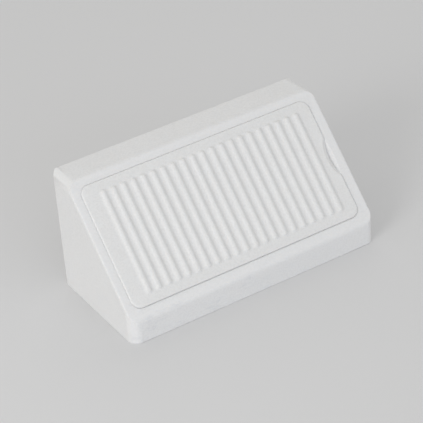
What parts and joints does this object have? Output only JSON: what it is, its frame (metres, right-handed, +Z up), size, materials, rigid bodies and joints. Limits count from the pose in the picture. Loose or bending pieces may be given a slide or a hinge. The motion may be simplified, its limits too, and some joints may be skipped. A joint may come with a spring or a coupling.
{
  "type": "door stop",
  "caption": "Wedge-shaped floor door stop: hollow plastic housing, ribbed prise-out cover plate over its floor screws, rubber buffers on the tall back face.",
  "frame": {"origin": "centre of the housing's base footprint, on the floor", "axes": "+X along the wedge to the cover's prise-out end, +Y from the sloping front to the tall back wall that the door meets, +Z up"},
  "size_m": [0.063, 0.0344, 0.029],
  "materials": {
    "white_plastic": "fine matte moulded grain",
    "white_cover_plastic": "fine matte moulded grain, slightly smoother than the housing",
    "zinc_plated_steel": "bright zinc plating",
    "grey_rubber": "matte soft rubber"
  },
  "bodies": {
    "housing": {"housing": "white_plastic", "washer_left": "zinc_plated_steel", "washer_right": "zinc_plated_steel", "buffer_left": "grey_rubber", "buffer_right": "grey_rubber"},
    "cover": {"cover_plate": "white_cover_plastic"},
    "screw_left": {"floor_screw_left": "zinc_plated_steel"},
    "screw_right": {"floor_screw_right": "zinc_plated_steel"}
  },
  "joints": [
    {"name": "cover_hinge", "type": "hinge", "parent": "housing", "child": "cover", "pos_m": [-0.02945, -0.00369, 0.01769], "axis": [0, -0.701, -0.7132], "range_deg": [0, 75]},
    {"name": "screw_left_drive", "type": "slide", "parent": "housing", "child": "screw_left", "axis": [0, 0, -1], "range_m": [0, 0.0122]},
    {"name": "screw_right_drive", "type": "slide", "parent": "housing", "child": "screw_right", "axis": [0, 0, -1], "range_m": [0, 0.0122]}
  ]
}
